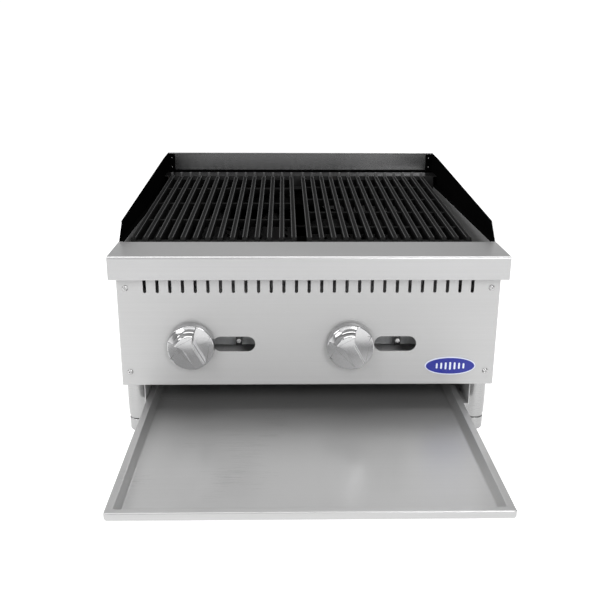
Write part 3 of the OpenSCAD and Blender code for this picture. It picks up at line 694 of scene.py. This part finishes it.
def knob(side):
    """Die-cast knob: a skirt, and a grip bar that flares into it at one end."""
    name = side + "_knob"
    lo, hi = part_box(name)
    r = (hi.z - lo.z) / 2
    centre = Vector(((lo.x + hi.x) / 2, panel_lo.y, (lo.z + hi.z) / 2))
    # Heights above the panel: the knob's back, the head of its skirt, the head of its grip
    base, cheek, top = panel_lo.y - hi.y, 0.017, panel_lo.y - lo.y
    profile = [(0, base), (r - 0.0012, base), (r - 0.0003, base + 0.0004), (r, base + 0.0013),
               (r, base + 0.007), (r - 0.0006, cheek - 0.001), (r - 0.0012, cheek + 0.0005),
               (r - 0.0056, top - 0.0014), (r - 0.0062, top - 0.0005), (r - 0.0074, top), (0, top)]
    ob = new_object("cast_" + name, lathe(profile, 144), M["chrome_knob"])
    turn = Matrix.Rotation(math.radians(GRIP_ANGLE), 4, "Z")
    # The flared half slopes down to the skirt
    shoulder = smooth_curve([(r - 0.0006, cheek - 0.001), (r - 0.0018, cheek + 0.0008),
                             (r - 0.0052, cheek + 0.0026), (r - 0.0088, cheek + 0.0052),
                             (r - 0.0110, cheek + 0.0086), (r - 0.0124, cheek + 0.0122),
                             (r - 0.0140, top - 0.0007)], 6)
    waste = shoulder + [(r - 0.0155, top), (r - 0.0155, top + 0.003), (r + 0.004, top + 0.003),
                        (r + 0.004, cheek - 0.001)]
    carve(ob, [temp(sweep(waste, 0, 180, 72), turn)])
    # Both cheeks are cut away beside the grip, whose flank runs straight and then flares
    w = 0.008   # half the width of the straight part
    flank = smooth_curve([(w, -0.01), (w, 0.0), (w + 0.0008, 0.005), (w + 0.003, 0.010),
                          (w + 0.007, 0.0155), (w + 0.0125, 0.021), (w + 0.0186, 0.0257),
                          (w + 0.026, 0.031), (w + 0.04, 0.0405)], 5)
    beyond_x, beyond_y, beyond_z = 0.07, -0.05, 0.06   # well outside the knob
    beside = ([(beyond_x, beyond_y), (w, beyond_y)] + flank)[::-1]
    cutters = []
    for sign in (1, -1):
        outline = [(sign * x, y) for x, y in beside]
        cutters.append(temp(prism(outline, cheek, beyond_z), turn))
    carve(ob, cutters)
    # The shaft's hole, started a little below the knob's back
    bore_r, bore_z0, bore_z1 = 0.004, -0.001, 0.0205
    bore = lathe([(0, bore_z0), (bore_r, bore_z0), (bore_r, bore_z1), (0, bore_z1)], 48)
    carve(ob, [temp(bore)])
    rework(ob, clean)
    soften(ob, 0.0009, 4, 35.0)
    rework(ob, lambda bm: bm.transform(Matrix.Translation(centre) @ FACING))
    show(ob, name)


for side in SIDES:
    knob(side)

# ---------------------------------------------------------------- legs and feet

for end in ("front", "rear"):
    for side in SIDES:
        refined(f"{end}_{side}_leg", M["leg_steel"], 0.0006, 3)
        refined(f"{end}_{side}_foot", M["leg_steel"], 0.0006, 3)
refined("leg_nuts", M["zinc_steel"], 0.0005)

# ---------------------------------------------------------------- fasteners


def screw_head(radius, height):
    """A domed head with a cross recess, its flat side at z = 0."""
    rim, steps = 0.25, 8   # the part of the height that is upright rim, and the steps of the dome
    angles = [math.radians(90 * i / steps) for i in range(steps + 1)]
    dome = [(radius * math.sin(a), height * (rim + (1 - rim) * math.cos(a))) for a in angles]
    profile = [(0, height)] + dome[1:] + [(radius, 0), (0, 0)]
    head = new_object("head", lathe(profile, 40), M["screw_steel"])
    arm, wide = radius * 0.55, radius * 0.13
    cross = [(wide, arm), (-wide, arm), (-wide, wide), (-arm, wide), (-arm, -wide), (-wide, -wide),
             (-wide, -arm), (wide, -arm), (wide, -wide), (arm, -wide), (arm, wide), (wide, wide)]
    carve(head, [temp(prism(cross, height * 0.35, height * 2))])
    soften(head, 0.00012, 2, 35.0)
    bm = bmesh.new()
    bm.from_mesh(head.data)
    discard(head)
    return bm


def shank(radius, length):
    """A threaded shank from z = 0 down, with rolled ridges."""
    pitch, root, overlap = 0.0008, radius * 0.82, 0.0002   # it reaches up into the head by overlap
    profile = [(0, overlap), (root, overlap)]
    z = 0.0
    while z < length - 2 * pitch:
        profile += [(root, -z - pitch * 0.2), (radius, -z - pitch * 0.5), (root, -z - pitch * 0.8)]
        z += pitch
    profile += [(radius * 0.6, -length + pitch), (0, -length)]
    return lathe(profile, 24)


def screws(name, y, matrix, radius, height, shaft, length):
    """The four screws of a CAD node, one in each corner of its box, with their seats at y."""
    lo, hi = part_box(name)
    parts = []
    for x in (lo.x + radius, hi.x - radius):
        for z in (lo.z + radius, hi.z - radius):
            for part in (screw_head(radius, height), shank(shaft, length)):
                part.transform(Matrix.Translation((x, y, z)) @ matrix)
                parts.append(part)
    ob = new_object("set_" + name, join_bm(parts), M["screw_steel"])
    shade_under(ob, 40)
    show(ob, name)


SHAFT = 0.0019   # radius of the screws' threads
SPLASH_SEAT = 0.028   # the splash screws' heads sit this far in front of the back
screws("panel_screws", panel_lo.y, FACING, 0.0046, panel_lo.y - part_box("panel_screws")[0].y, SHAFT, 0.0195)
screws("splash_screws", cad_hi.y - SPLASH_SEAT, REARWARD, 0.0044, 0.0024, SHAFT, 0.0034)

# ---------------------------------------------------------------- gas pipe


def gas_pipe():
    """Pipe whose rear end carries a tapered thread."""
    lo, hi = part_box("gas_inlet_pipe")
    r = (hi.z - lo.z) / 2
    thread, pitch, bore = 0.024, 0.00181, 0.0105   # length and pitch of the thread, radius inside
    start, groove, end = lo.y, hi.y - thread, hi.y
    relief = r - 0.0008
    profile = [(bore, start), (r, start), (r, groove - 0.0004), (relief, groove),
               (relief, groove + 0.0018)]
    y = groove + 0.002
    while y < end - 1.4 * pitch:
        crest = r - 0.0006 * max(0, (y - groove - 0.004)) / 0.02
        profile += [(crest - 0.0009, y), (crest, y + pitch * 0.45), (crest - 0.0001, y + pitch * 0.55)]
        y += pitch
    profile += [(r - 0.0016, y), (r - 0.002, end), (bore, end), (bore, start)]
    bm = lathe(profile, 72)
    bmesh.ops.remove_doubles(bm, verts=bm.verts, dist=1e-6)
    axis = Vector(((lo.x + hi.x) / 2, 0, (lo.z + hi.z) / 2))
    bm.transform(Matrix.Translation(axis) @ REARWARD)
    bmesh.ops.recalc_face_normals(bm, faces=bm.faces)
    ob = new_object("threaded_pipe", bm, M["zinc_steel"])
    shade_under(ob, 35)
    show(ob, "gas_inlet_pipe")


gas_pipe()

# ---------------------------------------------------------------- stem springs


def spring(side):
    """Round wire coil that the push on its knob squashes."""
    name = side + "_stem_spring"
    lo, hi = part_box(name)
    c = (lo + hi) / 2
    wire = 0.0005
    coil = (hi.z - lo.z) / 2 - wire
    turns, sides = 4, 12
    steps = 36 * turns
    bm = bmesh.new()
    rings = []
    for i in range(steps + 1):
        t = i / steps
        a = 2 * math.pi * turns * t
        y = lo.y + wire + (hi.y - lo.y - 2 * wire) * t
        out = Vector((math.cos(a), 0, math.sin(a)))
        rings.append([bm.verts.new(Vector((c.x, y, c.z)) + out * (coil + wire * math.cos(b))
                                   + Vector((0, wire * math.sin(b), 0)))
                      for b in [2 * math.pi * k / sides for k in range(sides)]])
    for a, b in zip(rings, rings[1:]):
        for k in range(sides):
            m = (k + 1) % sides
            bm.faces.new((a[k], a[m], b[m], b[k]))
    bm.faces.new(rings[0])
    bm.faces.new(rings[-1])
    bmesh.ops.recalc_face_normals(bm, faces=bm.faces)
    ob = new_object("coil_" + name, bm, M["spring_steel"])
    ob.data.shade_smooth()
    show(ob, name)
    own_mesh(ob)


for side in SIDES:
    spring(side)

# ---------------------------------------------------------------- badge


def badge():
    """Oval enamel plate: pale rim and a plain seven-bar grille mark."""
    lo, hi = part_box("badge")
    a, b, t = (hi.x - lo.x) / 2, (hi.z - lo.z) / 2, hi.y - lo.y
    bm = bmesh.new()
    # (inset from the outline, height, finish) of each ring: 0 is the enamel, 1 the bars, 2 the rim
    steps = [(0.0, 0.0, 2), (0.0, t * 0.6, 2), (0.0003, t * 0.9, 2), (0.0007, t, 2), (0.0015, t, 2),
             (0.0018, t * 0.86, 2), (0.002, t * 0.72, 0), (0.0085, t * 0.74, 0)]
    n = 96
    rings = [[bm.verts.new(((a - inset) * math.cos(2 * math.pi * i / n),
                            (b - inset) * math.sin(2 * math.pi * i / n), h)) for i in range(n)]
             for inset, h, _ in steps]
    for r0, r1, (_, _, finish) in zip(rings, rings[1:], steps[1:]):
        for i in range(n):
            j = (i + 1) % n
            bm.faces.new((r0[i], r0[j], r1[j], r1[i])).material_index = finish
    bm.faces.new(rings[-1]).material_index = 0
    bm.faces.new(rings[0][::-1]).material_index = 2
    bmesh.ops.recalc_face_normals(bm, faces=bm.faces)
    parts = [bm]
    spacing, w = 0.0072, 0.0015   # from bar to bar, and half a bar's width
    upper = [math.pi * k / 6 for k in range(7)]
    lower = [math.pi + u for u in upper]
    for i in range(-3, 4):
        h = 0.0052 - 0.0007 * abs(i)   # half the straight length, shorter towards the ends
        pill = [(i * spacing + w * math.cos(u), (h if u < math.pi else -h) + w * math.sin(u))
                for u in upper + lower]
        bar = prism(pill, t * 0.66, t * 0.86)
        for face in bar.faces:
            face.material_index = 1
        parts.append(bar)
    whole = join_bm(parts)
    spot = Vector(((lo.x + hi.x) / 2, hi.y, (lo.z + hi.z) / 2))
    whole.transform(Matrix.Translation(spot) @ FACING)
    ob = new_object("oval_plate", whole, [M["badge_blue"], M["badge_line"], M["badge_rim"]])
    shade_under(ob, 35)
    show(ob, "badge")


badge()

# ---------------------------------------------------------------- studio

GAP = 0.0005   # the floor lies this far under the feet
floor_mesh = bmesh.new()
bmesh.ops.create_grid(floor_mesh, x_segments=1, y_segments=1, size=20)
# The floor glows, so that it comes out as white as the photo's background
floor_mat, _, bsdf = material("studio_floor", (0.4, 0.4, 0.4), 0.0, 0.8)
bsdf.inputs["Emission Color"].default_value = (1, 1, 1, 1)
bsdf.inputs["Emission Strength"].default_value = 0.92
floor = new_object("studio_floor", floor_mesh, floor_mat)
floor.location = (0, 0, cad_lo.z - GAP)

world = bpy.data.worlds.new("studio")
scene.world = world
world.use_nodes = True
nt = world.node_tree
background = nt.nodes["Background"]
coord = nt.nodes.new("ShaderNodeTexCoord")
height = node(nt, "ShaderNodeSeparateXYZ", Vector=coord.outputs["Generated"]).outputs["Z"]
ramp = nt.nodes.new("ShaderNodeValToRGB")
nt.links.new(height, ramp.inputs["Fac"])
# (height, brightness) of the surroundings, from the ground up to straight overhead
stops = [(0.0, 1.05), (0.06, 1.05), (0.16, 0.42), (0.5, 0.3), (1.0, 0.5)]
while len(ramp.color_ramp.elements) < len(stops):
    ramp.color_ramp.elements.new(0.5)
# Every place is set before any colour, as the places decide the order of the stops
for element, (at, _) in zip(ramp.color_ramp.elements, stops):
    element.position = at
for element, (_, level) in zip(ramp.color_ramp.elements, stops):
    element.color = (level, level, level, 1)
nt.links.new(ramp.outputs["Color"], background.inputs["Color"])
background.inputs["Strength"].default_value = 1.0


def softbox(name, at, aim, size, power):
    """A rectangular lamp at one place, aimed at another."""
    light = bpy.data.lights.new(name, "AREA")
    light.shape = "RECTANGLE"
    light.size, light.size_y = size
    light.energy = power
    ob = bpy.data.objects.new(name, light)
    ob.location = at
    ob.rotation_euler = (Vector(aim) - Vector(at)).to_track_quat("-Z", "Y").to_euler()
    scene.collection.objects.link(ob)


softbox("top_light", (0.0, 0.0, 2.3), (0, 0.0, 0), (3.0, 1.9), 44)
softbox("left_front", (-1.5, -1.9, 1.35), (0, 0, 0.2), (0.7, 0.8), 11)
softbox("left_side", (-2.0, 0.3, 1.7), (0, 0, 0.2), (0.9, 0.9), 16)
softbox("front_light", (0.95, -3.0, 1.7), (0, -0.2, 0.1), (0.8, 1.0), 26)
softbox("front_strip", (0.0, -3.4, 2.3), (0, 0, 0.2), (3.2, 1.0), 12)

# The camera that was fitted to the straight edges of the photo; its angles are in radians
cam = bpy.data.cameras.new("camera")
cam.sensor_width = 36.0
cam.lens = 48.10
cam.clip_end = 60
yaw, pitch, roll = 0.0210, 0.3121, -0.0048
fwd = Vector((math.sin(yaw) * math.cos(pitch), math.cos(yaw) * math.cos(pitch), -math.sin(pitch)))
right0 = Vector((math.cos(yaw), -math.sin(yaw), 0))
down0 = fwd.cross(right0)
right = math.cos(roll) * right0 + math.sin(roll) * down0
down = -math.sin(roll) * right0 + math.cos(roll) * down0
cam_ob = bpy.data.objects.new("camera", cam)
eye = Vector((-0.0392, ledge_lo.y - 1.1703, 0.6312))
rows = Matrix((right, -down, -fwd)).transposed()
cam_ob.matrix_world = Matrix.Translation(eye) @ rows.to_4x4()
scene.collection.objects.link(cam_ob)
scene.camera = cam_ob
scene.view_settings.view_transform = "Standard"
